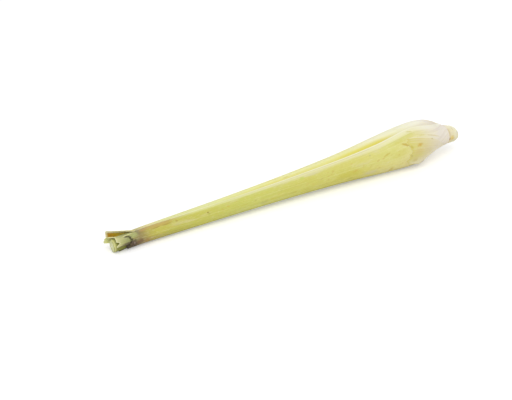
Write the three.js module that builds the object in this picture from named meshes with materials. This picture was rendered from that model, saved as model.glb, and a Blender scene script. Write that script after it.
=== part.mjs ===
// One trimmed lemongrass stalk, lying on a flat surface with its root end at +X and its cut top at -X.
//
// A stalk is a short stem with leaf sheaths rolled round it, one inside the other. Places on it are given
// by two numbers: `along`, the distance from the root cut in millimetres, and `turn`, the angle round the
// stalk in degrees, which is 0 on top, 90 on the front (-Y), 180 underneath and -90 at the back. Each sheath
// is a flat strip that is rolled up by moving its vertices to such places, so the layers share one shape and
// never cross.

import * as THREE from 'three';

const { clamp, degToRad, lerp, radToDeg, smoothstep } = THREE.MathUtils;

// ----------------------------------------------------------------------------------------------------
// Driving dimensions, in millimetres and degrees
// ----------------------------------------------------------------------------------------------------

const STALK_LENGTH = 262; // from the root cut to the cut top of the heart

// Half of the stalk's thickness, and the height of its centreline above the surface that it lies on.
const HALF_THICKNESS = [[0, 4.8], [6, 5.5], [12, 6.5], [18, 8.2], [24, 10.5], [32, 13], [42, 13.9],
  [60, 12.8], [100, 9.4], [160, 6.8], [250, 4.8], [270, 4.6]];
const CENTRE_HEIGHT = [[0, 11.3], [12, 13.3], [24, 15.2], [40, 12.9], [60, 11.7], [100, 9.8], [180, 6.8],
  [250, 4.56], [262, 3.95], [270, 3.8]];
const OVAL = { across: 1.04, upright: 0.965 }; // a stalk lies with the wider way of its section level

// A sheath is fleshy on the bulb and papery at the top. The gap keeps neighbouring layers apart.
const SHEATH_THICKNESS = [[0, 0.7], [14, 0.75], [40, 1.1], [90, 0.75], [180, 0.4], [270, 0.26]];
const LAYER_GAP = [[0, 0.28], [40, 0.34], [120, 0.25], [270, 0.18]];

// The stem: a bare stump below the lowest sheath, and a peg inside the bulb.
const STUMP_LENGTH = 8;
const PEG = { end: 27, radius: 3.9, rows: 4 };
const ROOT_CHAMFER = 0.6;
const LEAF_SCARS = { height: 0.3, halfWidth: 0.6, places: [2, 4.6, 6.9] };

// What is left of the oldest leaf: its two margins, and how far along its strands were torn off.
const BASAL_SHEATH = { start: 10, thickness: 0.5, lowerMargin: 214 };
const BASAL_UPPER_MARGIN = [[10, 140], [16.5, 117], [24.3, 85], [32, 64], [40, 50], [46, 43], [50, 40]];
const BASAL_TORN_END = [[40, 49.6], [73, 49], [94, 50.6], [118, 50], [127, 42], [136, 37], [165, 33],
  [214, 29]];

// The outer sheath is open along the top and back of the stalk, between these two margins, and its top end
// has dried and broken off unevenly.
const OUTER_SHEATH = { start: 9.3, end: 252.5, unevenness: 1.2 };
const OUTER_FRONT_MARGIN = [[8, -44], [12, -24], [16, 0], [20, 17], [26, 24], [33, 18], [40, 10], [48, 10],
  [58, 15], [72, 20], [120, 20], [160, 17], [200, 13], [270, 0]];
const OUTER_BACK_MARGIN = [[8, -112], [22, -104], [120, -94], [270, -90]];
const MARGIN_DIP = 0.06; // share of the radius that the stalk sinks along such a margin
const MARGIN_DIP_WIDTH = 26; // half-width of that dip
const MARGIN_OVERLAP = 4; // how far inside a margin the second sheath is still fully covered
const MARGIN_RISE = 24; // the turn over which it then comes up to the outside

// The sheaths inside it. A tongue is the turns between which a sheath reaches further than elsewhere.
const SECOND_SHEATH = { start: 10, end: 245, margins: [-150, 95], tongue: [-92, -12], tongueEnd: 261.7 };
const SECOND_TONGUE_SLOPE = 0.42; // it curls away from the stalk from where the outer sheath ends
const THIRD_SHEATH = { start: 14.5, end: 260.4, margins: [-212, 90], tongue: [-98, -4], tongueEnd: 265 };
const THIRD_TONGUE_LIFT = 1.2; // how far its tip stands away from the heart
const INNER_SHEATH = { start: 19.5, margins: [-40, 296] };
const CUT_FLARE = { start: 251, height: 0.7 }; // past the outer sheath the layers open out a little
const TONGUE_SIDE = 10; // the turn over which a tongue runs out of its sheath

const ROOT_CROWDING = 1.5; // above 1, rows of faces crowd towards the root, where the bulb curves most

// ----------------------------------------------------------------------------------------------------
// The shape that every layer shares
// ----------------------------------------------------------------------------------------------------

// A smooth function of the distance along the stalk, through [along, value] pairs.
function through(pairs) {
  const places = pairs.map(([along]) => along);
  const values = pairs.map(([, value]) => value);
  const spline = new THREE.CubicInterpolant(places, values, 1);
  return (along) => spline.evaluate(along)[0];
}

const halfThickness = through(HALF_THICKNESS);
const centreHeight = through(CENTRE_HEIGHT);
const sheathThickness = through(SHEATH_THICKNESS);
const layerGap = through(LAYER_GAP);
const layerStep = (along) => sheathThickness(along) + layerGap(along);
const outerFrontMargin = through(OUTER_FRONT_MARGIN);
const outerBackMargin = through(OUTER_BACK_MARGIN);

// How much of the radius the stalk sinks in a margin's dip. The stump and the sheath bases have no dip.
const dipDepth = (along) => MARGIN_DIP * smoothstep(along, STUMP_LENGTH, PEG.end);

// The radius of the stalk's outside, which sinks a little along the outer sheath's margins.
function skinRadius(along, turn) {
  const side = turn > 180 ? turn - 360 : turn;
  const nearness = (margin) => Math.exp(-(((side - margin) / MARGIN_DIP_WIDTH) ** 2));
  const nearest = Math.max(nearness(outerFrontMargin(along)), nearness(outerBackMargin(along)));
  return halfThickness(along) * (1 - dipDepth(along) * nearest);
}

// 1 where the outer sheath covers the second, falling to 0 inside its open side.
function outerCover(along, turn) {
  const inside = Math.min(turn - outerBackMargin(along), outerFrontMargin(along) - turn);
  return 1 - smoothstep(inside, MARGIN_OVERLAP, MARGIN_OVERLAP + MARGIN_RISE);
}

// The outside radius of the second sheath, which bulges out through the open side of the outer one.
function secondRadius(along, turn) {
  return skinRadius(along, turn) - layerStep(along) * outerCover(along, turn);
}

// The outside radius of the round layers inside those two: 2 is the third sheath, 3 the inner, 4 the heart.
function roundRadius(layer, along) {
  const flare = CUT_FLARE.height * smoothstep(along, CUT_FLARE.start, STALK_LENGTH);
  return halfThickness(along) * (1 - dipDepth(along)) - layerStep(along) * layer + flare;
}

// The point at a radius from the centreline. What would sink into the surface is flattened against it.
function place(along, turn, radius) {
  const angle = degToRad(turn);
  return new THREE.Vector3(
    -along,
    -radius * OVAL.across * Math.sin(angle),
    Math.max(centreHeight(along) + radius * OVAL.upright * Math.cos(angle), 0),
  );
}

function moveVertices(geometry, moved) {
  const position = geometry.getAttribute('position');
  const from = new THREE.Vector3();
  for (let i = 0; i < position.count; i += 1) {
    const to = moved(from.fromBufferAttribute(position, i));
    position.setXYZ(i, to.x, to.y, to.z);
  }
  geometry.computeVertexNormals();
  return geometry;
}

// Rolls a flat strip of leaf round the stalk. `margins` gives the turns of its two long edges at a distance
// along the stalk, `end` how far each strand reaches, the strands being told apart by their turn at the top,
// and `radius` the outside radius at a place.
function rolledLeaf({ start, end, margins, radius, thickness = sheathThickness, cells }) {
  const strip = new THREE.BoxGeometry(1, 1, 1, cells.round, 1, cells.along);
  const topMargins = margins(STALK_LENGTH);
  return moveVertices(strip, ({ x, y, z }) => {
    const strand = lerp(...topMargins, x + 0.5);
    const along = lerp(start, end(strand), (z + 0.5) ** ROOT_CROWDING);
    const turn = lerp(...margins(along), x + 0.5);
    return place(along, turn, radius(along, turn) - (0.5 - y) * thickness(along));
  });
}

// How far each strand of a sheath with a tongue reaches.
function tonguedEnd({ end, tongue: [from, to], tongueEnd }) {
  return (strand) => {
    const inTongue = clamp(Math.min(strand - from, to - strand) / TONGUE_SIDE, 0, 1);
    return lerp(end, tongueEnd, inTongue);
  };
}

// ----------------------------------------------------------------------------------------------------
// Sub-parts
// ----------------------------------------------------------------------------------------------------

// The stem: a stump with leaf scars below the sheaths, and a peg that carries them inside the bulb.
function stem() {
  const { height, halfWidth, places } = LEAF_SCARS;
  const scars = places.flatMap((middle) => [
    [middle - halfWidth, halfThickness(middle - halfWidth)],
    [middle, halfThickness(middle) + height],
    [middle + halfWidth, halfThickness(middle + halfWidth)],
  ]);
  const peg = [];
  for (let row = 0; row <= PEG.rows; row += 1) {
    peg.push([lerp(STUMP_LENGTH, PEG.end, row / PEG.rows), PEG.radius]);
  }
  const profile = [
    [0, 0],
    [0, halfThickness(0) - ROOT_CHAMFER],
    [ROOT_CHAMFER, halfThickness(ROOT_CHAMFER)],
    ...scars,
    [STUMP_LENGTH, halfThickness(STUMP_LENGTH)],
    ...peg,
    [PEG.end, 0],
  ];
  const outline = profile.map(([along, radius]) => new THREE.Vector2(radius, -along)).reverse();
  return moveVertices(new THREE.LatheGeometry(outline, 20), ({ x, y, z }) => (
    place(-y, radToDeg(Math.atan2(x, z)), Math.hypot(x, z))
  ));
}

// The oldest leaf was stripped off, and left a thin torn sheath under the front of the bulb.
function basalSheath() {
  const { start, thickness, lowerMargin } = BASAL_SHEATH;
  const upperMargin = through(BASAL_UPPER_MARGIN);
  return rolledLeaf({
    start,
    end: through(BASAL_TORN_END),
    margins: (along) => [upperMargin(along), lowerMargin],
    radius: (along, turn) => skinRadius(along, turn) + layerGap(along) + thickness,
    thickness: () => thickness,
    cells: { round: 16, along: 10 },
  });
}

function outerSheath() {
  const { start, end, unevenness } = OUTER_SHEATH;
  return rolledLeaf({
    start,
    end: (strand) => end + unevenness * Math.sin(degToRad(3 * strand)),
    margins: (along) => [outerFrontMargin(along), outerBackMargin(along) + 360],
    radius: skinRadius,
    cells: { round: 20, along: 30 },
  });
}

// The second sheath fills the open side of the outer one. Its back ends in a dried tongue that curls away.
function secondSheath() {
  const curlStart = OUTER_SHEATH.end + 1;
  return rolledLeaf({
    start: SECOND_SHEATH.start,
    end: tonguedEnd(SECOND_SHEATH),
    margins: () => SECOND_SHEATH.margins,
    radius: (along, turn) => secondRadius(along, turn) + SECOND_TONGUE_SLOPE * Math.max(along - curlStart, 0),
    cells: { round: 22, along: 28 },
  });
}

// The third sheath shows as a ring round the cut top, with a paler tongue behind it.
function thirdSheath() {
  const { start, end, tongueEnd, margins } = THIRD_SHEATH;
  return rolledLeaf({
    start,
    end: tonguedEnd(THIRD_SHEATH),
    margins: () => margins,
    radius: (along) => roundRadius(2, along) + THIRD_TONGUE_LIFT * smoothstep(along, end, tongueEnd),
    cells: { round: 24, along: 48 },
  });
}

// The inner sheath hugs the heart and was cut through with it.
function innerSheath() {
  return rolledLeaf({
    start: INNER_SHEATH.start,
    end: () => STALK_LENGTH,
    margins: () => INNER_SHEATH.margins,
    radius: (along) => roundRadius(3, along),
    cells: { round: 20, along: 46 },
  });
}

// The heart is the tight roll of young leaves in the middle, cut straight across.
function heart() {
  const start = PEG.end + layerGap(PEG.end);
  return moveVertices(new THREE.CylinderGeometry(1, 1, 1, 20, 46), ({ x, y, z }) => {
    const along = lerp(start, STALK_LENGTH, (0.5 - y) ** ROOT_CROWDING);
    return place(along, radToDeg(Math.atan2(x, z)), Math.hypot(x, z) * roundRadius(4, along));
  });
}

// ----------------------------------------------------------------------------------------------------
// Assembly
// ----------------------------------------------------------------------------------------------------

function part(name, geometry, color, roughness) {
  const mesh = new THREE.Mesh(geometry, new THREE.MeshStandardMaterial({ color, roughness, metalness: 0 }));
  mesh.name = name;
  return mesh;
}

const laid = new THREE.Group();
laid.add(
  part('stem_base', stem(), 0xe0d6a0, 0.7),
  part('basal_sheath', basalSheath(), 0xddd0a4, 0.65),
  part('outer_sheath', outerSheath(), 0xcdca70, 0.5),
  part('second_sheath', secondSheath(), 0xe7dfae, 0.5),
  part('third_sheath', thirdSheath(), 0xb9bc76, 0.55),
  part('inner_sheath', innerSheath(), 0xc6c47e, 0.55),
  part('heart_leaves', heart(), 0xc9cb8f, 0.6),
);

// The origin is under the middle of the stalk, on the surface that it lies on.
const box = new THREE.Box3().setFromObject(laid, true);
const middle = box.getCenter(new THREE.Vector3());
laid.position.set(-middle.x, -middle.y, -box.min.z);

const lemongrassStalk = new THREE.Group();
lemongrassStalk.add(laid);

export default lemongrassStalk;
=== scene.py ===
"""A stalk of lemongrass: its stump, its rolled sheaths and its heart, laid on a pale floor."""
import math

import bpy
import numpy as np
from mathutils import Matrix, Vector


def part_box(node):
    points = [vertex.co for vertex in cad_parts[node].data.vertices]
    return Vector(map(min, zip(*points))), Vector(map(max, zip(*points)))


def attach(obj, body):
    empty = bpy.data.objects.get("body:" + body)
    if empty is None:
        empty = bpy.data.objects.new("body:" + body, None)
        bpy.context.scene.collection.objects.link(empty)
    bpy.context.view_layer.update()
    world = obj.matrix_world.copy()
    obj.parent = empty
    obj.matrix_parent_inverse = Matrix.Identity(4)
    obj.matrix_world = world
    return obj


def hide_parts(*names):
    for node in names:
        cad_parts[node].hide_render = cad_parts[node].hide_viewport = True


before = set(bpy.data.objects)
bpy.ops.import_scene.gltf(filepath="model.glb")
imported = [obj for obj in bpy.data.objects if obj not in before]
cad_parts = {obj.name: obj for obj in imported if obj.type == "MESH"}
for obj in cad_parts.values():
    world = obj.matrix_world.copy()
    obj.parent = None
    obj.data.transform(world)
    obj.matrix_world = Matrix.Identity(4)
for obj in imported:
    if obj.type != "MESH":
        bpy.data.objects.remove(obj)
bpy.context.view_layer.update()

# ---------- Driving dimensions ----------
# In millimetres from the root cut, and in degrees round the stalk: 0 is the top, 90 the front, 180 the
# underside and -90 the back.

MM = 0.001
STALK_LENGTH = 262
TOP = 270  # beyond the tips: a leaf's strands are told apart by their turn here

HALF_THICKNESS = [(0, 4.8), (6, 5.5), (12, 6.5), (18, 8.2), (24, 10.5), (32, 13), (42, 13.9), (60, 12.8),
                  (100, 9.4), (160, 6.8), (250, 4.8), (270, 4.6)]
CENTRE_HEIGHT = [(0, 11.3), (12, 13.3), (24, 15.2), (40, 12.9), (60, 11.7), (100, 9.8), (180, 6.8),
                 (250, 4.54), (262, 3.78), (270, 3.6)]
FRONT_LEAN, LEAN_START = 0.8, 238  # the last of the stalk leans a little to the front
NECK_FULLNESS = [(0, 0.7), (8, 1.0), (18, 1.6), (26, 1.1), (34, 0.2), (42, 0), (270, 0)]
SHOULDER_FULLNESS = [(0, 0), (8, 0.1), (10, 0.5), (14, 1.7), (18, 1.5), (22, 0.85), (26, 0.3), (31, 0),
                     (270, 0)]
SHOULDER_TURN = -45  # where round the stalk the shoulder is fullest
OVAL_ACROSS, OVAL_UPRIGHT = 1.04, 0.965

SHEATH_THICKNESS = [(0, 0.7), (14, 0.75), (40, 1.1), (90, 0.75), (180, 0.4), (270, 0.22)]
LAYER_GAP = [(0, 0.22), (40, 0.3), (120, 0.18), (250, 0.08), (270, 0.06)]
PAPERY = 0.28  # the outer sheath's thickness at its margins
MARGIN_TAPER = 26  # the turn over which it thins to that
MARGIN_GAP = 0.05  # the air that is left under its margins
INNER_WALL_SHARE = 0.9  # how thick the sheaths inside it are, for their layer
THINNEST_WALL = 0.05  # of any piece

STUMP_LENGTH = 8
BULB_START = 27  # from here up the margins sink in their dips

FRONT_MARGIN = [(8, -44), (12, -24), (16, 0), (20, 17), (26, 24), (33, 18), (40, 10), (48, 10), (58, 15),
                (72, 20), (120, 20), (160, 17), (200, 13), (270, 0)]
BACK_MARGIN = [(8, -112), (22, -104), (120, -94), (270, -90)]
MARGIN_DIP, MARGIN_DIP_WIDTH, MARGIN_DIP_OFFSET = 0.06, 24, 5
MARGIN_RISE = 24  # the turn over which the second sheath comes up in the open side

SHEATH_START = 9.8
START_LEAD, START_TURN, START_REACH = 2.2, -50, 60  # at the back the sheaths begin nearer to the root cut
BASAL_START, THIRD_START, INNER_START, HEART_START = 10, 14.5, 19.5, 27.4
OUTER_END = [(-5, 246.5), (8, 247.5), (11, 249), (14, 253), (18, 254.6), (26, 254), (36, 253), (56, 252),
             (72, 252.2), (84, 253), (98, 255.4), (120, 255.4), (138, 254), (150, 252.5), (190, 250),
             (230, 249), (275, 247)]

SECOND_MARGINS = (-150, 95)
THIRD_MARGINS = (-212, 84)
INNER_MARGINS = (-40, 296)
CUT_FLARE, FLARE_START = 0.66, 246  # how much the layers open towards the cut
CUT_END = 262.7
CUT_SLANT = (0.3, 0.6)  # how much farther the cut is above than below, and in front than behind, halved
CUT_TUCK = 0.16  # how much closer each layer is there to the one outside it

STEM_TOP, STEM_RADIUS = 27, 3.9  # the stem's end inside the sheaths, and its radius there
STEM_DRAW_IN = 1.7  # the length over which the stump draws in to that, inside the sheaths' start
ROOT_ROUNDING, ROOT_ROUND_LENGTH = 0.12, 1.6  # how the root cut is rounded off
LEAF_SCARS, SCAR_HEIGHT, SCAR_WIDTH = (2.4, 4.8, 7.0), 0.28, 0.45
BASAL_LIFT, BASAL_WALL = 0.2, 0.15  # the basal sheath's outside above the stalk's skin, and its thickness
WITHERED_START, WITHERED_END, WITHERED_SINK = 243, 252, 0.12  # where the outer sheath's end has dried
TONGUE_CURL_START, TONGUE_CURL_LENGTH, TONGUE_CURL_POWER = 247.5, 14, 1.1
TONGUE_BACK, TONGUE_UP = 4.4, 2.7  # how far the second sheath's tongue has curled away after that length

# ---------- The shape that every piece shares ----------


def through(pairs):
    """A smooth curve through (place, value) pairs."""
    places, values = np.array(pairs, float).T
    chords = np.diff(values) / np.diff(places)
    slopes = np.empty_like(values)
    slopes[1:-1] = (values[2:] - values[:-2]) / (places[2:] - places[:-2])
    slopes[0] = 1.5 * chords[0] - 0.5 * slopes[1]
    slopes[-1] = 1.5 * chords[-1] - 0.5 * slopes[-2]

    def curve(at):
        at = np.clip(at, places[0], places[-1])
        k = np.clip(np.searchsorted(places, at, side="right") - 1, 0, len(places) - 2)
        width = places[k + 1] - places[k]
        t = (at - places[k]) / width
        level = values[k] * (1 + 2 * t) * (1 - t) ** 2 + values[k + 1] * t * t * (3 - 2 * t)
        return level + width * (slopes[k] * t * (1 - t) ** 2 - slopes[k + 1] * t * t * (1 - t))

    return curve


def smoothstep(at, low, high):
    """0 up to low, 1 from high on, and an even curve between."""
    t = np.clip((at - low) / (high - low), 0, 1)
    return t * t * (3 - 2 * t)


def lerp(low, high, share):
    return low + (high - low) * share


def bump(at, middle, reach):
    """A round hump, 1 at the middle and next to nothing beyond twice its reach."""
    return np.exp(-(((at - middle) / reach) ** 2))


def level(value):
    """The same value everywhere."""
    return lambda *at: value + 0 * at[0]


def waves(at, *each):
    """A sum of (length, height, start) waves, for what grew uneven."""
    return sum(height * np.sin(2 * np.pi * (at / length + start)) for length, height, start in each)


half_thickness = through(HALF_THICKNESS)
centre_height = through(CENTRE_HEIGHT)
sheath_thickness = through(SHEATH_THICKNESS)
layer_gap = through(LAYER_GAP)
neck_fullness = through(NECK_FULLNESS)
shoulder_fullness = through(SHOULDER_FULLNESS)
front_margin = through(FRONT_MARGIN)
back_margin = through(BACK_MARGIN)

stump_low, stump_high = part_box("stem_base")
ROOT_X = stump_high.x
AXIS_Y = (stump_low.y + stump_high.y) / 2


def place(along, turn, radius):
    """The points at a radius from the centreline. What would sink into the floor lies flat on it."""
    angle = np.radians(turn)
    x = ROOT_X - along * MM
    lean = FRONT_LEAN * smoothstep(along, LEAN_START, STALK_LENGTH)
    y = AXIS_Y - (radius * OVAL_ACROSS * np.sin(angle) + lean) * MM
    z = np.maximum(centre_height(along) + radius * OVAL_UPRIGHT * np.cos(angle), 0) * MM
    return np.stack(np.broadcast_arrays(x, y, z), axis=-1)


def wrapped(turn):
    """A turn as it is written from -180 to 180."""
    return (turn + 180) % 360 - 180


def open_side(along, turn):
    """Degrees into the side that the outer sheath leaves open. Under the outer sheath it is negative."""
    side = wrapped(turn)
    return np.minimum(side - back_margin(along), front_margin(along) - side)


def skin_radius(along, turn):
    """The outside of the stalk, which sinks a little just beyond the outer sheath's margins."""
    side = wrapped(turn)
    front = bump(side, front_margin(along) - MARGIN_DIP_OFFSET, MARGIN_DIP_WIDTH)
    back = bump(side, back_margin(along) + MARGIN_DIP_OFFSET, MARGIN_DIP_WIDTH)
    sink = MARGIN_DIP * smoothstep(along, STUMP_LENGTH, BULB_START) * np.maximum(front, back)
    return half_thickness(along) * (1 - sink) + fullness(along, turn)


def fullness(along, turn):
    """The neck of the bulb is fuller underneath, and so is its shoulder at the back."""
    below = neck_fullness(along) * (1 - np.cos(np.radians(turn))) / 2
    behind = shoulder_fullness(along) * np.maximum(np.cos(np.radians(turn - SHOULDER_TURN)), 0) ** 2
    return below + behind


def wall_thickness(along, turn):
    """The outer sheath's wall, fleshy but for its papery margins."""
    full = sheath_thickness(along)
    return lerp(np.minimum(PAPERY, full), full, smoothstep(-open_side(along, turn), 0, MARGIN_TAPER))


def seam_gap(along, turn):
    """The air between the outer sheath and the second, which closes at the margins."""
    return lerp(MARGIN_GAP, layer_gap(along), smoothstep(-open_side(along, turn), 0, MARGIN_TAPER))


def second_radius(along, turn):
    """The outside of the second sheath, which comes up to the stalk's skin in the open side."""
    under = wall_thickness(along, turn) + seam_gap(along, turn)
    return skin_radius(along, turn) - under * (1 - smoothstep(open_side(along, turn), 0, MARGIN_RISE))


def round_radius(layer, along):
    """The outside of the round layers inside those two: 2 is the third sheath, 3 the inner, 4 the heart."""
    layer_step = sheath_thickness(along) + layer_gap(along)
    sunk = half_thickness(along) * (1 - MARGIN_DIP * smoothstep(along, STUMP_LENGTH, BULB_START))
    opened = (CUT_FLARE - CUT_TUCK * (layer - 2)) * smoothstep(along, FLARE_START, STALK_LENGTH)
    return sunk - layer_step * layer + opened


def inner_wall(along, turn):
    """The walls of the sheaths inside the outer one."""
    return INNER_WALL_SHARE * sheath_thickness(along)


def sheath_start(turn):
    """Where the outer and second sheaths begin."""
    return SHEATH_START - START_LEAD * bump(wrapped(turn), START_TURN, START_REACH)


def cut_end(turn):
    """Where the slanting cut across the stalk is."""
    angle = np.radians(turn)
    return CUT_END + CUT_SLANT[0] * np.cos(angle) + CUT_SLANT[1] * np.sin(angle)


# ---------- Making a piece ----------

MAP_UNIT = 100  # the millimetres or degrees that one unit of a map stands for
CROWDING = (0.75, 0.6)  # how much a blade's rows and columns crowd towards its ends and margins
SEAM, DOUBLES = 0.00001, 0.000002  # how close, in metres, points are to be merged
CUT_REACH = 6  # how far from its place along the stalk an open end may reach, in mm
SHARP_ANGLE = 50


def vertices(piece):
    """A piece's points, in rows of three."""
    flat = np.empty(len(piece.data.vertices) * 3)
    piece.data.vertices.foreach_get("co", flat)
    return flat.reshape(-1, 3)


def set_vertices(piece, points):
    piece.data.vertices.foreach_set("co", np.asarray(points, np.float32).ravel())
    piece.data.update()


def map_surface(piece, name, along, turn):
    """A UV map that follows the leaf: U is a way along the stalk and V the way round."""
    layer = piece.data.uv_layers.new(name=name)
    corner = np.empty(len(piece.data.loops), np.int32)
    piece.data.loops.foreach_get("vertex_index", corner)
    pairs = np.stack([along[corner] / MAP_UNIT, turn[corner] / MAP_UNIT], axis=-1)
    layer.uv.foreach_set("vector", pairs.astype(np.float32).ravel())


def crowd(share, amount):
    """Draws an even spread of places towards both its ends."""
    return share - amount * np.sin(2 * np.pi * share) / (2 * np.pi)


def blade(name, rows, columns, finishes):
    """A flat blade, one unit long and wide, that lies along the stalk and is ready to be rolled."""
    bpy.ops.object.select_all(action="DESELECT")
    bpy.ops.mesh.primitive_grid_add(x_subdivisions=rows, y_subdivisions=columns, size=1, calc_uvs=False)
    made = bpy.context.object
    made.name = made.data.name = name
    for finish in finishes:
        made.data.materials.append(finish)
    return made


def merge_points(distance):
    """Merges the points of the active piece that lie together."""
    bpy.ops.object.mode_set(mode="EDIT")
    bpy.ops.mesh.select_all(action="SELECT")
    bpy.ops.mesh.remove_doubles(threshold=distance)
    bpy.ops.object.mode_set(mode="OBJECT")


def apply_modifiers(piece):
    """Applies a piece's modifiers to its mesh."""
    bpy.context.view_layer.objects.active = piece
    for modifier in list(piece.modifiers):
        bpy.ops.object.modifier_apply(modifier=modifier.name)


def thicken(piece, wall):
    """Gives a rolled blade its wall, inwards. The lining is the second finish and the cut rim the third."""
    most = float(wall.max())
    group = piece.vertex_groups.new(name="wall")
    for index, share in enumerate(wall / most):
        group.add([index], float(share), "REPLACE")
    solid = piece.modifiers.new("wall", "SOLIDIFY")
    solid.thickness = most
    solid.offset = -1
    solid.vertex_group = group.name
    solid.material_offset = 1
    solid.material_offset_rim = 2
    apply_modifiers(piece)
    piece.vertex_groups.clear()


def rolled(name, *, start, end, margins, radius, thickness, rows, columns, finishes, crowding=CROWDING,
           bend=None):
    """Rolls a blade of leaf round the stalk. margins gives the turns of its long edges at a distance along
    the stalk, start and end where each strand begins and ends, radius the outside at a place, and bend how
    far it is bent away there, in mm."""
    leaf = blade(name, rows, columns, finishes)
    flat = vertices(leaf)
    length = crowd(flat[:, 0] + 0.5, crowding[0])
    width = crowd(flat[:, 1] + 0.5, crowding[1])
    first, last = margins(TOP)
    strand = lerp(first, last, width)
    along = lerp(start(strand), end(strand), length)
    first, last = margins(along)
    turn = lerp(first, last, width)
    outside = radius(along, turn)
    points = place(along, turn, outside)
    lining = place(along, turn, outside - thickness(along, turn))
    wall = np.linalg.norm(points - lining, axis=1)
    if bend:
        points = points + bend(along, turn) * MM
    set_vertices(leaf, points)
    map_surface(leaf, "girth", along, turn)
    map_surface(leaf, "strands", end(strand) - along, strand)
    thicken(leaf, np.maximum(wall, THINNEST_WALL * MM))
    return leaf


def closed(name, *, start, end, radius, rows, columns, finishes):
    """Rolls a blade right round the stalk, closes its seam, and caps both its ends."""
    piece = blade(name, rows, columns, finishes)
    flat = vertices(piece)
    turn = lerp(-180, 180, flat[:, 1] + 0.5)
    along = lerp(start, end(turn), crowd(flat[:, 0] + 0.5, CROWDING[0]))
    set_vertices(piece, place(along, turn, radius(along, turn)))
    map_surface(piece, "girth", along, turn)
    map_surface(piece, "strands", end(turn) - along, turn)
    merge_points(SEAM)
    return piece


def cap_end(piece, along, finish, rings):
    """Closes an end of a rolled piece with rings, each of a (width, depth) in mm, and a middle point."""
    bpy.context.view_layer.objects.active = piece
    bpy.ops.object.mode_set(mode="EDIT")
    bpy.ops.mesh.select_mode(type="EDGE")
    bpy.ops.mesh.select_all(action="DESELECT")
    bpy.ops.mesh.select_non_manifold()
    bpy.ops.object.mode_set(mode="OBJECT")
    edge_x = ROOT_X - along * MM
    for vertex in piece.data.vertices:
        vertex.select = vertex.select and abs(vertex.co.x - edge_x) < CUT_REACH * MM
    for edge in piece.data.edges:
        edge.select = edge.select and all(piece.data.vertices[v].select for v in edge.vertices)
    outward = 1 if along < STALK_LENGTH / 2 else -1
    bpy.ops.object.mode_set(mode="EDIT")
    bpy.ops.mesh.edge_face_add()
    piece.active_material_index = finish
    bpy.ops.object.material_slot_assign()
    bpy.ops.mesh.select_mode(type="FACE")
    for width, depth in rings:
        bpy.ops.mesh.inset(thickness=width * MM, depth=0)
        bpy.ops.transform.translate(value=(outward * depth * MM, 0, 0))
    bpy.ops.mesh.poke()
    bpy.ops.object.mode_set(mode="OBJECT")


def finish_piece(piece, node):
    """Smooths a piece, and puts it in place of its CAD node."""
    bpy.ops.object.select_all(action="DESELECT")
    piece.select_set(True)
    bpy.context.view_layer.objects.active = piece
    merge_points(DOUBLES)
    bpy.ops.object.shade_smooth_by_angle(angle=math.radians(SHARP_ANGLE))
    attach(piece, "root")
    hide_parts(node)


# ---------- Finishes ----------

LEAF_SPECULAR, LEAF_SCATTER, LEAF_SCATTER_DEPTH = 0.28, (1.0, 0.9, 0.35), 0.0012
SPOT_CORE, SPOT_RIM = 0.3, 1.05  # the shares of a spot's reach where it begins to fade and has faded


def colour(red, green, blue):
    """A written colour, as the shader counts it."""
    parts = [part / 255 for part in (red, green, blue)]
    return [p / 12.92 if p <= 0.04045 else ((p + 0.055) / 1.055) ** 2.4 for p in parts] + [1]


class Nodes:
    """Adds nodes to one material or group."""

    def __init__(self, tree):
        self.tree = tree

    def add(self, kind, inputs=None, **settings):
        """A shader node, with its settings, and its inputs fed by name or number."""
        node = self.tree.nodes.new("ShaderNode" + kind)
        for name, value in settings.items():
            setattr(node, name, value)
        for name, value in (inputs or {}).items():
            self.feed(node.inputs[name], value)
        return node

    def feed(self, socket, value):
        """Links a socket to another one, or sets its value."""
        if isinstance(value, bpy.types.NodeSocket):
            self.tree.links.new(value, socket)
        else:
            socket.default_value = value

    def math(self, operation, *values):
        node = self.add("Math", operation=operation)
        for socket, value in zip(node.inputs, values):
            self.feed(socket, value)
        return node.outputs[0]

    def times(self, first, second):
        return self.math("MULTIPLY", first, second)

    def plus(self, first, second):
        return self.math("ADD", first, second)

    def mix(self, share, first, second):
        """A share of the second colour over the first."""
        node = self.add("Mix", {0: share, 6: first, 7: second}, data_type="RGBA")
        return node.outputs[2]

    def waver(self, value, grain, amount):
        """Makes a value uneven with a grain, by up to half an amount either way."""
        return self.plus(value, self.times(self.math("SUBTRACT", grain, 0.5), amount))

    def ease(self, value, low, high, start=0, stop=1):
        """start below low, stop above high, and an even curve between."""
        node = self.add("MapRange", interpolation_type="SMOOTHSTEP")
        for socket, part in zip(node.inputs, (value, low, high, start, stop)):
            self.feed(socket, part)
        return node.outputs[0]

    def noise(self, vector, scale=1, detail=3, roughness=0.5):
        looks = {"Vector": vector, "Scale": scale, "Detail": detail, "Roughness": roughness}
        return self.add("TexNoise", looks).outputs[0]


def new_group(name, inputs, outputs):
    """A shader node group, its nodes, and its input and output sockets, all numbers but for a Map."""
    group = bpy.data.node_groups.new(name, "ShaderNodeTree")
    for way, labels in (("INPUT", inputs), ("OUTPUT", outputs)):
        for label in labels:
            kind = "NodeSocketVector" if label == "Map" else "NodeSocketFloat"
            group.interface.new_socket(label, in_out=way, socket_type=kind)
    nodes = Nodes(group)
    entry = group.nodes.new("NodeGroupInput")
    exit_ = group.nodes.new("NodeGroupOutput")
    return group, nodes, entry.outputs, exit_.inputs


def make_place_group():
    """Where on the stalk a spot is, in millimetres and degrees, from one of a piece's maps."""
    group, nodes, given, out = new_group("place on stalk", ["Map"], ["Along", "Turn"])
    parts = nodes.add("SeparateXYZ", {0: given["Map"]})
    for part, label in enumerate(("Along", "Turn")):
        nodes.feed(out[label], nodes.times(parts.outputs[part], MAP_UNIT))
    return group


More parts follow.
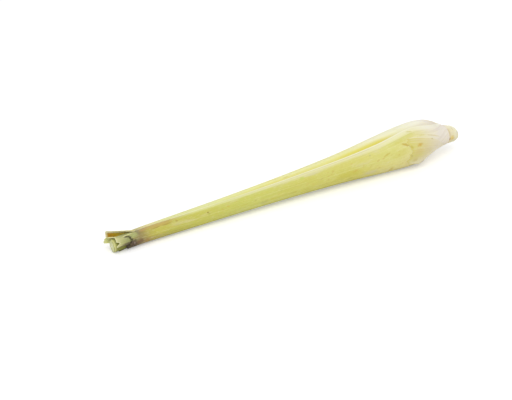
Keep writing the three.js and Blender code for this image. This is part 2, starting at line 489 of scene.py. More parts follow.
def make_grain_group():
    """The grain of a leaf: streaks and fine veins along its strands, and clouds and specks over them."""
    group, nodes, given, out = new_group("leaf grain", ["Along", "Strand", "Vein width", "Seed"],
                                         ["Streak", "Vein", "Mottle", "Cloud", "Fleck", "Speck"])
    turn = given["Strand"]
    veins = nodes.math("DIVIDE", turn, given["Vein width"])
    for name, length, side, width, shift, detail, roughness in (
            ("Vein", 60, veins, 1, 0, 2, 0.6), ("Streak", 55, veins, 5, 0, 3, 0.55),
            ("Mottle", 9, turn, 26, 0, 4, 0.55), ("Cloud", 17, turn, 34, 5, 5, 0.6),
            ("Fleck", 2.2, turn, 5, 0, 3, 0.6), ("Speck", 3.4, turn, 8, 9, 2, 0.5)):
        spot = nodes.add("CombineXYZ", {0: nodes.math("DIVIDE", given["Along"], length),
                                        1: nodes.math("DIVIDE", side, width),
                                        2: nodes.plus(given["Seed"], shift)})
        grain = nodes.noise(spot.outputs[0], detail=detail, roughness=roughness)
        nodes.feed(out[name], nodes.ease(grain, 0.62, 0.72) if name == "Speck" else grain)
    return group


def make_spot_group():
    """A ragged spot at a place on a leaf, 1 inside and 0 outside."""
    inputs = ["Along", "Turn", "At along", "At turn", "Length", "Width", "Slant"]
    group, nodes, given, out = new_group("leaf spot", inputs, ["Mask"])
    off_along = nodes.math("SUBTRACT", given["Along"], given["At along"])
    off_turn = nodes.math("SUBTRACT", given["Turn"], given["At turn"])
    slanted = nodes.math("SUBTRACT", off_turn, nodes.times(off_along, given["Slant"]))
    scaled = nodes.add("CombineXYZ", {0: nodes.math("DIVIDE", off_along, given["Length"]),
                                      1: nodes.math("DIVIDE", slanted, given["Width"])})
    reach = nodes.add("VectorMath", {0: scaled.outputs[0]}, operation="LENGTH")
    edge = nodes.add("CombineXYZ", {0: nodes.times(given["Along"], 0.9),
                                    1: nodes.times(given["Turn"], 0.16)})
    ragged = nodes.times(nodes.math("SUBTRACT", nodes.noise(edge.outputs[0], detail=3), 0.5), 1.1)
    distance = nodes.plus(reach.outputs["Value"], ragged)
    nodes.feed(out["Mask"], nodes.ease(distance, SPOT_CORE, SPOT_RIM, start=1, stop=0))
    return group


OUTER_SPOTS = [  # each a colour, (along, turn), (length, width), slant and strength
    ((200, 172, 64), (52, 56), (3.6, 5.4), -2.2, 0.75),
    ((216, 200, 140), (29, 62), (9, 3.5), -2, 0.5),
    ((206, 196, 86), (38, 46), (4, 3), -1.4, 0.4),
    ((204, 184, 66), (67.5, 66), (3.4, 4), 1.2, 0.6),
    ((204, 192, 74), (44.5, 22), (2.6, 3.4), -1.4, 0.55),
    ((212, 203, 84), (57, 76), (8, 15), 0.6, 0.35),
    ((208, 200, 70), (97, 92), (12, 18), 0, 0.5),
    ((214, 176, 76), (92, 86), (3, 6), 0.8, 0.35),
    ((214, 204, 172), (80, 112), (8, 12), 0, 0.5),
    ((206, 176, 66), (63, 126), (2.6, 14), 1.6, 0.55),
    ((220, 213, 180), (122, 42), (9, 10), 0, 0.4),
    ((196, 186, 80), (139, 98), (4, 6), 0, 0.4),
    ((200, 212, 100), (130.4, 45), (2.2, 11), 0, 0.55),
    ((206, 186, 80), (108.2, 60), (1.3, 6), 0, 0.5),
    ((196, 178, 96), (117.4, 77), (1.8, 4), 1.5, 0.45),
    ((188, 186, 86), (147, 70), (0.9, 4), 0, 0.5),
    ((192, 188, 130), (79.2, 50), (1, 3.4), 0, 0.6),
    ((190, 186, 74), (95, 116), (4, 8), 0, 0.45),
    ((192, 190, 120), (160, 102), (4.4, 12), 0, 0.5),
    ((184, 178, 70), (166, 75), (1, 4), 0.5, 0.5),
    ((198, 190, 130), (221, 68), (3.2, 8), 0, 0.45),
    ((190, 184, 76), (199, 64), (1.3, 10), 0, 0.6),
    ((150, 128, 34), (199.5, 56), (0.9, 6), 0, 0.8),
    ((186, 174, 76), (226, 24), (3, 12), 0, 0.5),
    ((190, 182, 92), (223.6, 12), (0.9, 9), 0, 0.5),
    ((160, 122, 66), (233.5, 41), (2.2, 4), 0.8, 0.7),
    ((172, 136, 62), (227.5, 41), (5, 7), 0, 0.6),
    ((168, 128, 66), (235.5, 41), (3.4, 6), 0, 0.5),
    ((170, 144, 66), (220.6, 42), (1, 9), 0, 0.6),
    ((198, 164, 94), (232, 26), (13, 19), 0, 0.65),
    ((190, 150, 98), (243, 23), (4, 17), 0, 0.55),
    ((90, 72, 58), (250.8, 106), (4.4, 34), 0, 0.94),
    ((130, 102, 70), (246.3, 100), (3.6, 25), 0, 0.85),
    ((176, 134, 70), (241.4, 112), (2.8, 30), 0, 0.5),
    ((104, 86, 72), (250.8, 84), (3.2, 20), 0, 0.8),
    ((160, 142, 128), (250, 98), (0.6, 17), 2, 0.6),
    ((182, 188, 120), (249.8, 36), (4.2, 24), 0, 0.8),
    ((130, 124, 92), (246.4, 22), (1.6, 28), 0, 0.5),
    # a dark line at the torn end: painted shadow under the ragged edge, with withered brown
    ((58, 48, 36), (254.2, 100), (2, 42), 0, 0.9),
]

place_group = make_place_group()
grain_group = make_grain_group()
spot_group = make_spot_group()


class Finish(Nodes):
    """One material, with the stalk's places and the leaf's grain at hand."""

    def __init__(self, name, *, seed, vein_width=4.0):
        self.material = bpy.data.materials.new(name)
        self.material.use_nodes = True
        super().__init__(self.material.node_tree)
        self.shader = self.tree.nodes["Principled BSDF"]
        girth = self.add("UVMap", uv_map="girth").outputs[0]
        strands = self.add("UVMap", uv_map="strands").outputs[0]
        spot = self.use(place_group, {"Map": girth})
        self.along, self.turn = spot.outputs["Along"], spot.outputs["Turn"]
        fibre = self.use(place_group, {"Map": strands})
        self.to_tip, self.strand = fibre.outputs["Along"], fibre.outputs["Turn"]
        grain = self.use(grain_group, {"Along": self.along, "Strand": self.strand,
                                       "Vein width": vein_width, "Seed": seed})
        self.vein, self.streak, self.mottle = (grain.outputs[k] for k in ("Vein", "Streak", "Mottle"))
        self.cloud, self.fleck, self.speck = (grain.outputs[k] for k in ("Cloud", "Fleck", "Speck"))

    def use(self, group, inputs):
        """Places a node group, with its inputs fed by name."""
        node = self.tree.nodes.new("ShaderNodeGroup")
        node.node_tree = group
        for name, value in inputs.items():
            self.feed(node.inputs[name], value)
        return node

    def along_colours(self, stops):
        """Colours that change along the stalk, through (along, (red, green, blue)) stops."""
        node = self.add("ValToRGB", {"Fac": self.math("DIVIDE", self.along, TOP)})
        band = node.color_ramp.elements
        band.remove(band[-1])
        for index, (at, written) in enumerate(stops):
            stop = band[0] if index == 0 else band.new(at / TOP)
            stop.position = at / TOP
            stop.color = colour(*written)
        return node.outputs[0]

    def tint(self, under, written, amount, value, low, high):
        """Lays a colour over another where a value goes from low to high."""
        return self.mix(self.times(self.ease(value, low, high), amount), under, colour(*written))

    def spots(self, under, each):
        """Lays ragged spots over a colour, listed as in OUTER_SPOTS."""
        for written, at, size, slant, strength in each:
            node = self.use(spot_group, {
                "Along": self.along, "Turn": self.turn, "At along": at[0], "At turn": at[1],
                "Length": size[0], "Width": size[1], "Slant": slant})
            under = self.mix(self.times(node.outputs[0], strength), under, colour(*written))
        return under

    def ribbed(self):
        """The relief of a leaf's veins and streaks."""
        return self.plus(self.times(self.vein, 0.6), self.times(self.streak, 0.5))

    def sheen(self):
        """The roughness of a fresh leaf, which is waxy in places."""
        return self.ease(self.mottle, 0.3, 0.7, start=0.42, stop=0.56)

    def end(self, base, roughness, relief, depth, subsurface=0.12):
        """The finished material: its colour, its roughness, and a relief of a depth in mm."""
        raised = self.add("Bump", {"Height": relief, "Strength": 1.0, "Distance": depth * MM})
        looks = {
            "Base Color": base, "Roughness": roughness, "Normal": raised.outputs[0],
            "Specular IOR Level": LEAF_SPECULAR, "Subsurface Weight": subsurface,
            "Subsurface Radius": LEAF_SCATTER, "Subsurface Scale": LEAF_SCATTER_DEPTH}
        for name, value in looks.items():
            self.feed(self.shader.inputs[name], value)
        return self.material


def outer_finish():
    """Cream and pink over the root, yellow-green up the stalk, and withered brown with painted shadow at the
    broken end.
    """
    f = Finish("outer sheath, yellow green", vein_width=4.2, seed=1.7)
    flank = f.along_colours([
        (9, (240, 229, 216)), (13, (246, 237, 222)), (20, (243, 234, 221)), (30, (239, 231, 207)),
        (36, (236, 228, 184)), (46, (228, 221, 146)), (62, (222, 219, 132)), (85, (219, 213, 117)),
        (130, (213, 209, 111)), (170, (206, 207, 101)), (205, (203, 200, 92)), (234, (198, 192, 84)),
        (241, (178, 166, 84)), (246, (150, 132, 84)), (250, (150, 146, 90))])
    belly = f.along_colours([
        (9, (244, 232, 216)), (30, (244, 234, 206)), (44, (240, 226, 166)), (60, (234, 226, 146)),
        (90, (222, 214, 110)), (140, (214, 212, 108)), (180, (211, 212, 112)), (208, (206, 204, 96)),
        (226, (188, 182, 82)), (238, (180, 164, 80)), (243, (150, 126, 80)), (247, (112, 90, 66)),
        (252, (84, 70, 54))])
    # The stop at 14 mm is lighter than the leaf: painted light on the neck's shoulder.
    shoulder = f.along_colours([
        (9, (246, 241, 228)), (14, (255, 254, 240)), (20, (246, 240, 218)), (28, (250, 246, 230)),
        (40, (246, 242, 206)), (60, (244, 241, 196)), (90, (240, 235, 176)), (130, (236, 232, 168)),
        (175, (232, 233, 160)), (206, (228, 229, 150)), (217, (210, 206, 130)), (226, (200, 182, 96)),
        (240, (190, 160, 92)), (246, (150, 136, 92)), (250, (176, 178, 116))])
    base = f.mix(f.ease(f.waver(f.turn, f.mottle, 30), 62, 118), flank, belly)
    grown = f.ease(f.along, 32, 48)
    clouds = f.times(grown, f.ease(f.cloud, 0.5, 0.68, stop=0.38))
    base = f.mix(clouds, base, colour(208, 202, 84))
    base = f.tint(base, (226, 216, 172), 0.4, f.cloud, 0.46, 0.3)
    from_margin = f.waver(f.strand, f.streak, 14)
    base = f.mix(f.ease(from_margin, 10, 27, start=0.85, stop=0), base, shoulder)
    papery = f.times(f.ease(f.along, 62, 84), f.ease(f.along, 150, 215, start=0.34, stop=0))
    papery = f.times(papery, f.ease(from_margin, 5, 28, start=1, stop=0))
    base = f.mix(papery, base, colour(228, 221, 190))
    # A narrow cream line along the front margin: the papery margin's pale colour, and a painted highlight on
    # its ridge.
    edge = f.ease(f.strand, 2.2, 5.5, start=0.8, stop=0)
    edge = f.times(edge, f.ease(f.along, 215, 235, start=1, stop=0.3))
    base = f.mix(edge, base, colour(252, 249, 220))
    streaks = f.times(grown, f.ease(f.streak, 0.52, 0.72, stop=0.25))
    base = f.mix(streaks, base, colour(200, 203, 92))
    base = f.tint(base, (240, 236, 184), 0.22, f.vein, 0.52, 0.7)
    base = f.tint(base, (182, 172, 92), 0.18, f.vein, 0.46, 0.3)
    base = f.tint(base, (246, 240, 196), 0.2, f.fleck, 0.52, 0.72)
    root = f.ease(f.along, 22, 36, start=1, stop=0)
    ribs = f.times(root, f.ease(f.vein, 0.5, 0.34, stop=0.16))
    base = f.mix(ribs, base, colour(224, 203, 182))
    specks = f.times(f.speck, f.times(grown, f.ease(f.strand, 18, 34, stop=0.4)))
    base = f.mix(specks, base, colour(208, 172, 78))
    base = f.spots(base, OUTER_SPOTS)
    # The dark band at the torn end: withered brown, and painted shadow under the lifted ragged edge.
    frayed_and_shaded = f.ease(f.waver(f.to_tip, f.fleck, 1.6), 0.5, 1.5, start=1, stop=0)
    frayed_and_shaded = f.times(frayed_and_shaded, f.ease(f.strand, 13, 20, start=0.15, stop=0.85))
    base = f.mix(frayed_and_shaded, base, colour(58, 48, 36))
    creased = f.times(f.mottle, f.ease(f.along, 242, 248, stop=3))
    return f.end(base, f.sheen(), f.plus(f.ribbed(), creased), 0.25)


def second_finish():
    """Cream at the bulb, pale yellow up the open side, and painted shade in deeper yellow where it goes under
    the margin.
    """
    f = Finish("second sheath, pale yellow", vein_width=4.6, seed=4.1)
    open_face = f.along_colours([
        (9, (250, 244, 232)), (20, (235, 225, 203)), (30, (250, 246, 230)), (50, (248, 246, 210)),
        (72, (248, 244, 200)), (90, (242, 238, 168)), (120, (243, 240, 172)), (160, (240, 238, 160)),
        (200, (232, 234, 164)), (225, (230, 231, 160)), (240, (230, 218, 158)), (246, (192, 183, 129)),
        (249, (218, 208, 148)), (254, (218, 210, 134))])
    # Painted shade: the groove beside the outer sheath's margin, in a deeper, more saturated yellow.
    groove_shade = f.along_colours([
        (9, (232, 218, 206)), (30, (236, 228, 206)), (50, (234, 228, 168)), (66, (226, 214, 96)),
        (90, (228, 219, 98)), (110, (232, 226, 136)), (150, (230, 222, 128)), (190, (228, 228, 150)),
        (226, (212, 206, 126)), (244, (176, 160, 110))])
    base = f.mix(f.ease(f.waver(f.turn, f.streak, 14), -6, 14), open_face, groove_shade)
    base = f.tint(base, (250, 247, 206), 0.25, f.vein, 0.52, 0.7)
    base = f.tint(base, (206, 208, 110), 0.3, f.streak, 0.52, 0.74)
    base = f.tint(base, (230, 214, 110), 0.3, f.cloud, 0.54, 0.7)
    root = f.ease(f.along, 22, 34, start=1, stop=0)
    ribs = f.times(root, f.ease(f.vein, 0.5, 0.34, stop=0.3))
    base = f.mix(ribs, base, colour(218, 198, 184))
    specks = f.times(f.speck, f.ease(f.along, 45, 90, stop=0.22))
    base = f.mix(specks, base, colour(206, 184, 92))
    base = f.spots(base, [
        ((196, 168, 96), (96, -62), (2.4, 5), 1.6, 0.5),
        ((206, 186, 110), (139, 4), (3, 6), 0, 0.4),
        ((188, 160, 96), (176, -48), (1.2, 7), 0, 0.5),
        ((196, 164, 100), (236, -60), (7, 16), 0, 0.5),
    ])
    # Painted light: a cream band near the sheath's end, which lies in shade where it comes out from under the
    # outer sheath.
    edge = f.times(f.ease(f.to_tip, 0.8, 2.0, start=1, stop=0), f.ease(f.along, 243, 246))
    base = f.mix(edge, base, colour(248, 240, 184))
    return f.end(base, f.sheen(), f.ribbed(), 0.22)


def dried_lining_finish():
    """The dried inner face of the second sheath's tongue, golden brown with pale edges, lightened with
    painted light where the cupped tongue is shaded.
    """
    f = Finish("second sheath, dried lining", vein_width=6.0, seed=6.3)
    # The stops from 246 to 252 mm are lighter than the dried leaf: painted light in the tongue's shaded base.
    base = f.along_colours([
        (200, (214, 210, 150)), (246, (255, 240, 170)), (252, (250, 226, 110)), (256, (214, 182, 44)),
        (259, (206, 156, 38)), (262, (198, 146, 54)), (264, (214, 186, 110))])
    base = f.tint(base, (148, 108, 22), 0.5, f.vein, 0.5, 0.68)
    base = f.mix(f.ease(f.to_tip, 0.7, 1.3, start=0.9, stop=0), base, colour(236, 226, 176))
    # The cream upper strip: its pale colour, and a painted highlight, lightened against the cupped tongue's
    # shade.
    base = f.mix(f.ease(f.strand, -67, -60), base, colour(255, 250, 210))
    from_fold = f.math("ABSOLUTE", f.plus(f.strand, 53))
    base = f.mix(f.ease(from_fold, 0.8, 3.0, start=0.35, stop=0), base, colour(170, 130, 60))
    return f.end(base, 0.6, f.vein, 0.15, subsurface=0.05)


def lining_finish():
    """The smooth pale inner face of a sheath."""
    f = Finish("sheath lining, pale", vein_width=5.0, seed=2.9)
    # The stops from 260 mm on are lighter than the lining: painted light where the linings lie in shade near
    # the cut.
    base = f.along_colours([
        (9, (236, 230, 214)), (60, (232, 230, 176)), (255, (196, 200, 136)), (260, (230, 231, 160)),
        (264, (228, 230, 166))])
    base = f.tint(base, (178, 182, 110), 0.25, f.vein, 0.5, 0.7)
    return f.end(base, 0.5, f.vein, 0.1)


def rim_finish(name, end_colours):
    """The cut or torn edge of a sheath."""
    f = Finish(name, vein_width=2.2, seed=8.8)
    stops = [(9, (236, 226, 196)), (60, (248, 245, 214)), (215, (236, 236, 176))]
    base = f.along_colours(stops + end_colours)
    base = f.tint(base, (190, 184, 124), 0.3, f.vein, 0.45, 0.7)
    return f.end(base, 0.6, f.vein, 0.1, subsurface=0.05)


def third_finish():
    """Pale grey green, bruised purple grey where it comes out of the outer sheath."""
    f = Finish("third sheath, grey green", vein_width=8.0, seed=3.3)
    base = f.along_colours([
        (15, (236, 230, 214)), (60, (226, 224, 150)), (245, (170, 172, 108)), (254, (160, 162, 104)),
        (258, (186, 186, 122)), (260, (204, 202, 144)), (262, (214, 214, 150)), (267, (214, 216, 146))])
    base = f.tint(base, (142, 150, 84), 0.5, f.vein, 0.5, 0.68)
    base = f.tint(base, (214, 210, 156), 0.4, f.vein, 0.47, 0.32)
    base = f.mix(f.ease(f.to_tip, 0.3, 1.0, start=0.8, stop=0), base, colour(232, 228, 178))
    base = f.spots(base, [
        # painted light: a pale patch on the upper edge, where the tongue shades it
        ((244, 240, 176), (251.2, 11), (5.5, 9), 0, 0.85),
        ((100, 88, 70), (255.2, 86), (4.8, 19), 0, 0.9),
        ((116, 106, 76), (259.2, 86), (3.8, 8), 0, 0.8),
        # painted shadow under the outer sheath's torn edge, with dried brown
        ((108, 104, 76), (254.8, 24), (1.2, 16), 0, 0.55),
        # painted light on the upper edge, where the tongue shades it
        ((240, 232, 164), (254.6, 13), (2.4, 4), 0.8, 0.8),
    ])
    return f.end(base, 0.5, f.vein, 0.15)


def inner_finish():
    """Yellow green, with painted shade making it darker low down beside the third sheath's margin."""
    f = Finish("inner sheath, yellow green", vein_width=6.0, seed=5.2)
    base = f.along_colours([
        # The stops from 250 to 261.4 mm are painted shade.
        (20, (236, 230, 214)), (60, (220, 218, 140)), (250, (104, 104, 40)), (257, (122, 126, 46)),
        (261.4, (138, 140, 60)), (262.4, (200, 198, 124)), (263, (228, 226, 164))])
    base = f.tint(base, (190, 190, 100), 0.4, f.vein, 0.5, 0.68)
    return f.end(base, 0.5, f.vein, 0.15)


def heart_finish():
    """The heart's side, out of sight but for its last millimetres."""
    f = Finish("heart leaves, pale green", vein_width=7.0, seed=7.4)
    base = f.along_colours([(27, (232, 226, 196)), (262, (190, 194, 120))])
    base = f.tint(base, (170, 176, 98), 0.4, f.vein, 0.5, 0.68)
    return f.end(base, 0.5, f.vein, 0.1)


def cut_face_finish(name, along, pale, edge, ring_width):
    """A cut across the leaves: rings round the middle of the stalk, which wander, and fibres."""
    f = Finish(name, seed=9.1)
    spot = f.add("TexCoord").outputs["Object"]
    centre = place(along, 0, 0)
    middle = f.add("Mapping", {"Vector": spot, "Location": [-float(part) for part in centre]})
    scaled = f.add("VectorMath", {0: middle.outputs[0], 1: (0, 1 / MM, 1 / MM)}, operation="MULTIPLY")
    wander = f.times(f.noise(scaled.outputs[0], scale=0.9, detail=2), 1.4)
    reach = f.add("VectorMath", {0: scaled.outputs[0]}, operation="LENGTH").outputs["Value"]
    wave = f.math("SINE", f.times(f.plus(reach, wander), 2 * math.pi / ring_width))
    fibres = f.noise(scaled.outputs[0], scale=4.5, detail=3, roughness=0.6)
    base = f.mix(f.ease(reach, 1.2, 3.4), colour(*pale), colour(*edge))
    base = f.tint(base, (150, 158, 92), 0.35, wave, 0.3, 1)
    base = f.tint(base, (222, 222, 178), 0.4, fibres, 0.5, 0.75)
    return f.end(base, 0.65, f.plus(f.times(wave, 0.3), fibres), 0.15, subsurface=0.08)


def stump_finish():
    """Straw yellow, with brown marks by the leaf scars, and orange in front, where sheaths came off."""
    f = Finish("stem base, straw", vein_width=9, seed=5.5)
    base = f.along_colours([(0, (244, 242, 218)), (4, (240, 234, 198)), (9, (234, 222, 184))])
    base = f.tint(base, (222, 210, 148), 0.5, f.mottle, 0.48, 0.66)
    # Painted light: the top and back of the stump lightened.
    base = f.tint(base, (250, 246, 222), 0.6, f.turn, 45, 5)
    base = f.spots(base, [
        ((234, 211, 130), (6.8, 99), (2.8, 27), 0, 0.9),
        ((224, 190, 106), (6.6, 104), (1.5, 12), 0, 0.4),
        ((160, 112, 64), (9.3, 103), (0.9, 13), 0, 0.85),
        ((198, 170, 112), (9.1, 62), (0.7, 38), 0, 0.5),
        ((144, 120, 88), (1.5, 64), (0.6, 13), 6, 0.5),
        ((160, 128, 84), (2.3, 118), (0.4, 22), 0, 0.5),
        ((176, 142, 92), (4.7, 32), (0.4, 26), 0, 0.4),
        ((168, 134, 88), (2.5, -70), (0.5, 40), 0, 0.45),
        ((150, 118, 78), (6.6, -150), (0.7, 24), 5, 0.5),
    ])
    return f.end(base, 0.6, f.plus(f.mottle, f.times(f.vein, 0.5)), 0.3)


def basal_finish():
    """A thin dry beige sheath, pressed on the bulb, its torn end freckled with brown."""
    f = Finish("basal sheath, beige", vein_width=3.6, seed=11.3)
    base = f.along_colours([
        (10, (242, 228, 210)), (20, (242, 230, 204)), (28, (238, 226, 188)), (34, (232, 219, 166)),
        (42, (227, 216, 136)), (50, (223, 214, 118))])
    base = f.tint(base, (250, 244, 220), 0.2, f.vein, 0.5, 0.7)
    base = f.tint(base, (226, 204, 146), 0.25, f.streak, 0.5, 0.7)
    base = f.tint(base, (222, 200, 150), 0.3, f.cloud, 0.5, 0.7)
    # Painted light: the underside lightened, as if lit from beneath.
    base = f.mix(f.ease(f.turn, 96, 130, stop=0.75), base, colour(255, 246, 212))
    base = f.mix(f.ease(f.strand, 39.5, 43, start=0.7, stop=0), base, colour(246, 240, 206))
    torn = f.ease(f.waver(f.to_tip, f.fleck, 2.5), 0.2, 3.0, start=0.8, stop=0)
    base = f.mix(torn, base, colour(224, 211, 118))
    base = f.spots(base, [
        ((208, 182, 88), (45.2, 111), (3, 8), 0, 0.4),
        ((222, 192, 124), (43, 86), (6, 12), 0, 0.35),
        ((204, 190, 78), (48.2, 68), (1.6, 6), -2, 0.55),
        ((214, 176, 78), (41.6, 69), (2.7, 5.6), 0, 0.8),
        ((196, 178, 120), (48.8, 92), (1, 6), -1, 0.4),
        ((172, 142, 104), (35.5, 138), (2.2, 8), 0, 0.7),
        ((198, 176, 100), (30.5, 70), (1.4, 3), -2.4, 0.5),
    ])
    return f.end(base, 0.55, f.plus(f.vein, f.streak), 0.18)


# ---------- Pieces ----------

lining = lining_finish()
pale_rim = rim_finish("sheath rim, cream", [(244, (214, 200, 140)), (262, (228, 226, 176))])
# Its dark stops at the torn end are withered brown and painted shadow under the ragged edge.
dark_rim = rim_finish("outer sheath rim, withered and shaded", [
    (236, (190, 170, 110)), (245, (110, 92, 66)), (254, (64, 52, 38))])
# Its dark stops up to 258 mm are purple-brown and painted shade along the third sheath's margin.
bruised_and_shaded_rim = rim_finish("third sheath rim, bruised and shaded", [
    (246, (120, 100, 72)), (258, (134, 120, 78)), (260.2, (180, 172, 120)), (261.2, (228, 226, 176))])


def stem_base():
    """The stump below the sheaths, ringed by leaf scars and rounded off at the root cut."""

    def radius(along, turn):
        stump = half_thickness(along) * (1 - ROOT_ROUNDING * (1 - smoothstep(along, 0, ROOT_ROUND_LENGTH)))
        stump = stump + fullness(along, turn)
        scars = sum(SCAR_HEIGHT * bump(along, at, SCAR_WIDTH) for at in LEAF_SCARS)
        uneven = waves(turn, (360, 0.1, 0.2), (120, 0.09, 0.6), (51.4, 0.05, 0.1))
        inside = smoothstep(along - sheath_start(turn), 0, STEM_DRAW_IN)
        return lerp(stump + scars + uneven, STEM_RADIUS, inside)

    face = cut_face_finish("stem base, root cut", 0, (226, 216, 176), (206, 190, 140), 1.1)
    piece = closed("stem_base_stump", start=0, end=level(STEM_TOP), radius=radius, rows=110, columns=96,
                   finishes=[stump_finish(), face])
    cap_end(piece, 0, 1, [(0.5, 0.16), (0.9, 0.1), (1.2, -0.12)])
    cap_end(piece, STEM_TOP, 0, [(1.0, 0)])
    finish_piece(piece, "stem_base")


def basal_sheath():
    """What is left of the oldest leaf: thin, torn across, and pressed on the front of the bulb."""
    upper_margin = through([(10, 140), (16.5, 117), (24.3, 85), (32, 64), (40, 50), (46, 43), (52, 39)])
    lower_margin = level(214)
    torn = through([(39, 49.6), (50, 50.6), (62, 50), (73, 48.4), (84, 49.4), (94, 50.6), (108, 52),
                    (118, 50), (127, 42), (136, 37), (150, 35), (165, 33), (214, 29)])

    def end(strand):
        return torn(strand) + waves(strand, (17, 0.6, 0.1), (7.3, 0.35, 0.4), (3.9, 0.15, 0.7))

    def radius(along, turn):
        flake = 0.9 * bump(turn, 137, 9) * smoothstep(along, 31, 37)
        return skin_radius(along, turn) + BASAL_LIFT + flake

    piece = rolled("basal_sheath_torn", start=level(BASAL_START), end=end,
                   margins=lambda along: (upper_margin(along), lower_margin(along)),
                   radius=radius, thickness=level(BASAL_WALL), rows=80, columns=110,
                   finishes=[basal_finish(), lining, pale_rim])
    finish_piece(piece, "basal_sheath")


def outer_sheath():
    """The outermost whole sheath, open at the top back, withered and broken off below the cut."""
    reach = through(OUTER_END)

    def start(strand):
        return sheath_start(lerp(front_margin(SHEATH_START), back_margin(SHEATH_START) + 360, strand / TOP))

    def end(strand):
        return reach(strand) + waves(strand, (23, 0.35, 0.1), (9.1, 0.28, 0.5), (4.3, 0.16, 0.8))

    def radius(along, turn):
        withered = smoothstep(along, WITHERED_START, WITHERED_END)
        wrinkles = waves(turn, (37, 0.16, 0.3), (14, 0.1, 0.0), (6.7, 0.05, 0.4))
        return skin_radius(along, turn) + withered * (wrinkles - WITHERED_SINK)

    piece = rolled("outer_sheath_leaf", start=start, end=end,
                   margins=lambda along: (front_margin(along), back_margin(along) + 360),
                   radius=radius, thickness=wall_thickness, rows=230, columns=120,
                   finishes=[outer_finish(), lining, dark_rim])
    finish_piece(piece, "outer_sheath")


def second_sheath():
    """The sheath that fills the open side, and ends in a dried tongue curling away at the back."""
    tongue = through([(-150, 244), (-122, 244.5), (-116, 252), (-108, 260.6), (-92, 261.6), (-60, 261.8),
                      (-32, 261.7), (-24, 261.2), (-17, 257), (-8, 252), (2, 247.5), (40, 245), (95, 244)])

    def bend(along, turn):
        curled = np.maximum(along - TONGUE_CURL_START, 0) ** TONGUE_CURL_POWER
        curl = curled / TONGUE_CURL_LENGTH ** TONGUE_CURL_POWER
        return np.stack([0 * curl, TONGUE_BACK * curl, TONGUE_UP * curl], axis=-1)

    piece = rolled("second_sheath_leaf", start=lambda strand: sheath_start(strand) + 0.2,
                   end=lambda strand: tongue(strand) + waves(strand, (11, 0.3, 0.2), (4.7, 0.15, 0.6)),
                   margins=lambda along: SECOND_MARGINS, radius=second_radius, bend=bend,
                   thickness=inner_wall, rows=200, columns=140, crowding=(0.75, 0.2),
                   finishes=[second_finish(), dried_lining_finish(), pale_rim])
    finish_piece(piece, "second_sheath")


def third_sheath():
    """The ring round the cut top, notched in front and with a squared tongue at the back."""
    reach = through([(-212, 259), (-104, 259), (-96, 260.6), (-88, 264.6), (-76, 265), (-50, 264.3),
                     (-20, 263.6), (-10, 262.6), (-3, 261), (20, 261), (44, 261.4), (53, 260.1),
                     (60, 259.8), (66, 261.4), (84, 261.8)])

    def radius(along, turn):
        lip = 0.45 * bump(turn, 55, 16) * smoothstep(along, 258, 261)
        opened = 1.4 * bump(turn, -42, 42) * smoothstep(along, 258, 265)
        return round_radius(2, along) + 0.15 * smoothstep(along, 256, 261) + lip + opened

    def margins(along):
        return THIRD_MARGINS[0], THIRD_MARGINS[1] + 14 * smoothstep(along, 261, 252)

    piece = rolled("third_sheath_leaf", start=level(THIRD_START),
                   end=lambda strand: reach(strand) + waves(strand, (19, 0.2, 0.2), (6.1, 0.1, 0.5)),
                   margins=margins, radius=radius, thickness=inner_wall, rows=130, columns=110,
                   crowding=(0.85, 0.2), finishes=[third_finish(), lining, bruised_and_shaded_rim])
    finish_piece(piece, "third_sheath")


def inner_sheath():
    """The sheath that hugs the heart, and was cut through with it."""
    piece = rolled("inner_sheath_leaf", start=level(INNER_START),
                   end=lambda strand: cut_end(strand) - 0.2 + waves(strand, (60, 0.12, 0.2), (17, 0.06, 0.5)),
                   margins=lambda along: INNER_MARGINS, radius=lambda along, turn: round_radius(3, along),
                   thickness=inner_wall, rows=110, columns=100, crowding=(0.85, 0.2),
                   finishes=[inner_finish(), lining, pale_rim])
    finish_piece(piece, "inner_sheath")


def heart_leaves():
    """The tight roll of young leaves, cut across at a slight slant."""
    face = cut_face_finish("heart leaves, cut face", STALK_LENGTH, (240, 240, 200), (226, 228, 168), 0.85)
    piece = closed("heart_leaves_roll", start=HEART_START, end=cut_end,
                   radius=lambda along, turn: round_radius(4, along), rows=110, columns=72,
                   finishes=[heart_finish(), face])
    cap_end(piece, HEART_START, 0, [(1.0, 0)])
    cap_end(piece, STALK_LENGTH, 1, [(0.12, 0.1), (0.35, 0.02), (0.1, -0.14), (0.45, 0.03), (0.1, 0.12),
                                     (0.5, -0.03), (0.1, -0.1), (0.5, 0.04)])
    finish_piece(piece, "heart_leaves")


stem_base()
basal_sheath()
outer_sheath()
second_sheath()
third_sheath()
inner_sheath()
heart_leaves()

# ---------- Floor, light and camera ----------

FLOOR_SIZE, FLOOR_DROP, FLOOR_TONE = 6, 0.0001, (0.86, 0.86, 0.86, 1)
WHITE = (1, 1, 1, 1)
FLOOR_GLOW = 0.3  # of the floor, where the camera sees it
SURROUND_LIGHT, SURROUND_GLOW = 0.73, 0.27  # on the object, and what the camera sees more
LAMP_SIZE, LAMP_POWER, LAMP_PLACE = 1.6, 10, (-0.45, -0.8, 1.45)
VIEW_TURN, VIEW_RISE, VIEW_DISTANCE = -35.228, 25, 0.88285  # round and above the stalk, and metres away
VIEW_CENTRE = (-0.1528, 0.01278, -0.00148)  # in metres, from the root cut
LENS, SENSOR = 100, 36


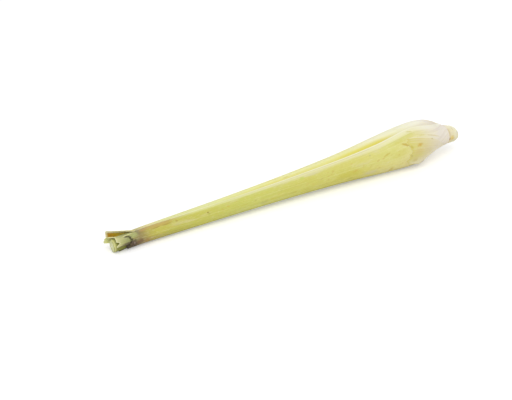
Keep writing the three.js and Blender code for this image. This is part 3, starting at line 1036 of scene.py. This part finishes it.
def pale_floor():
    """A white floor that keeps the stalk's soft shadow."""
    bpy.ops.object.select_all(action="DESELECT")
    bpy.ops.mesh.primitive_plane_add(size=FLOOR_SIZE, location=(0, 0, -FLOOR_DROP))
    floor = bpy.context.object
    floor.name = "floor"
    paper = bpy.data.materials.new("floor, white")
    paper.use_nodes = True
    nodes = Nodes(paper.node_tree)
    shader = paper.node_tree.nodes["Principled BSDF"]
    shader.inputs["Base Color"].default_value = FLOOR_TONE
    shader.inputs["Roughness"].default_value = 0.9
    shader.inputs["Specular IOR Level"].default_value = 0
    seen = nodes.add("LightPath").outputs["Is Camera Ray"]
    shader.inputs["Emission Color"].default_value = WHITE
    nodes.feed(shader.inputs["Emission Strength"], nodes.times(seen, FLOOR_GLOW))
    floor.data.materials.append(paper)


def soft_light():
    """An even white surround, and a broad lamp above the stalk."""
    world = bpy.data.worlds.new("surround")
    bpy.context.scene.world = world
    world.use_nodes = True
    nodes = Nodes(world.node_tree)
    seen = nodes.add("LightPath").outputs["Is Camera Ray"]
    backdrop = world.node_tree.nodes["Background"]
    backdrop.inputs["Color"].default_value = WHITE
    glow = nodes.times(seen, SURROUND_GLOW)
    nodes.feed(backdrop.inputs["Strength"], nodes.plus(glow, SURROUND_LIGHT))
    lamp = bpy.data.lights.new("overhead", "AREA")
    lamp.shape = "DISK"
    lamp.size = LAMP_SIZE
    lamp.energy = LAMP_POWER
    made = bpy.data.objects.new("overhead", lamp)
    bpy.context.scene.collection.objects.link(made)
    made.location = LAMP_PLACE
    made.rotation_euler = (Vector((0, 0, 0)) - made.location).to_track_quat("-Z", "Y").to_euler()


def camera():
    """Looks at the stalk from the front left, from above."""
    azimuth, elevation = math.radians(VIEW_TURN), math.radians(VIEW_RISE)
    target = Vector((ROOT_X + VIEW_CENTRE[0], VIEW_CENTRE[1], VIEW_CENTRE[2]))
    back = Vector((math.sin(azimuth) * math.cos(elevation), -math.cos(azimuth) * math.cos(elevation),
                   math.sin(elevation)))
    lens = bpy.data.cameras.new("camera")
    lens.lens = LENS
    lens.sensor_width = SENSOR
    made = bpy.data.objects.new("camera", lens)
    bpy.context.scene.collection.objects.link(made)
    made.location = target + back * VIEW_DISTANCE
    made.rotation_euler = back.to_track_quat("Z", "Y").to_euler()
    bpy.context.scene.camera = made


pale_floor()
soft_light()
camera()
bpy.context.scene.view_settings.view_transform = "Standard"
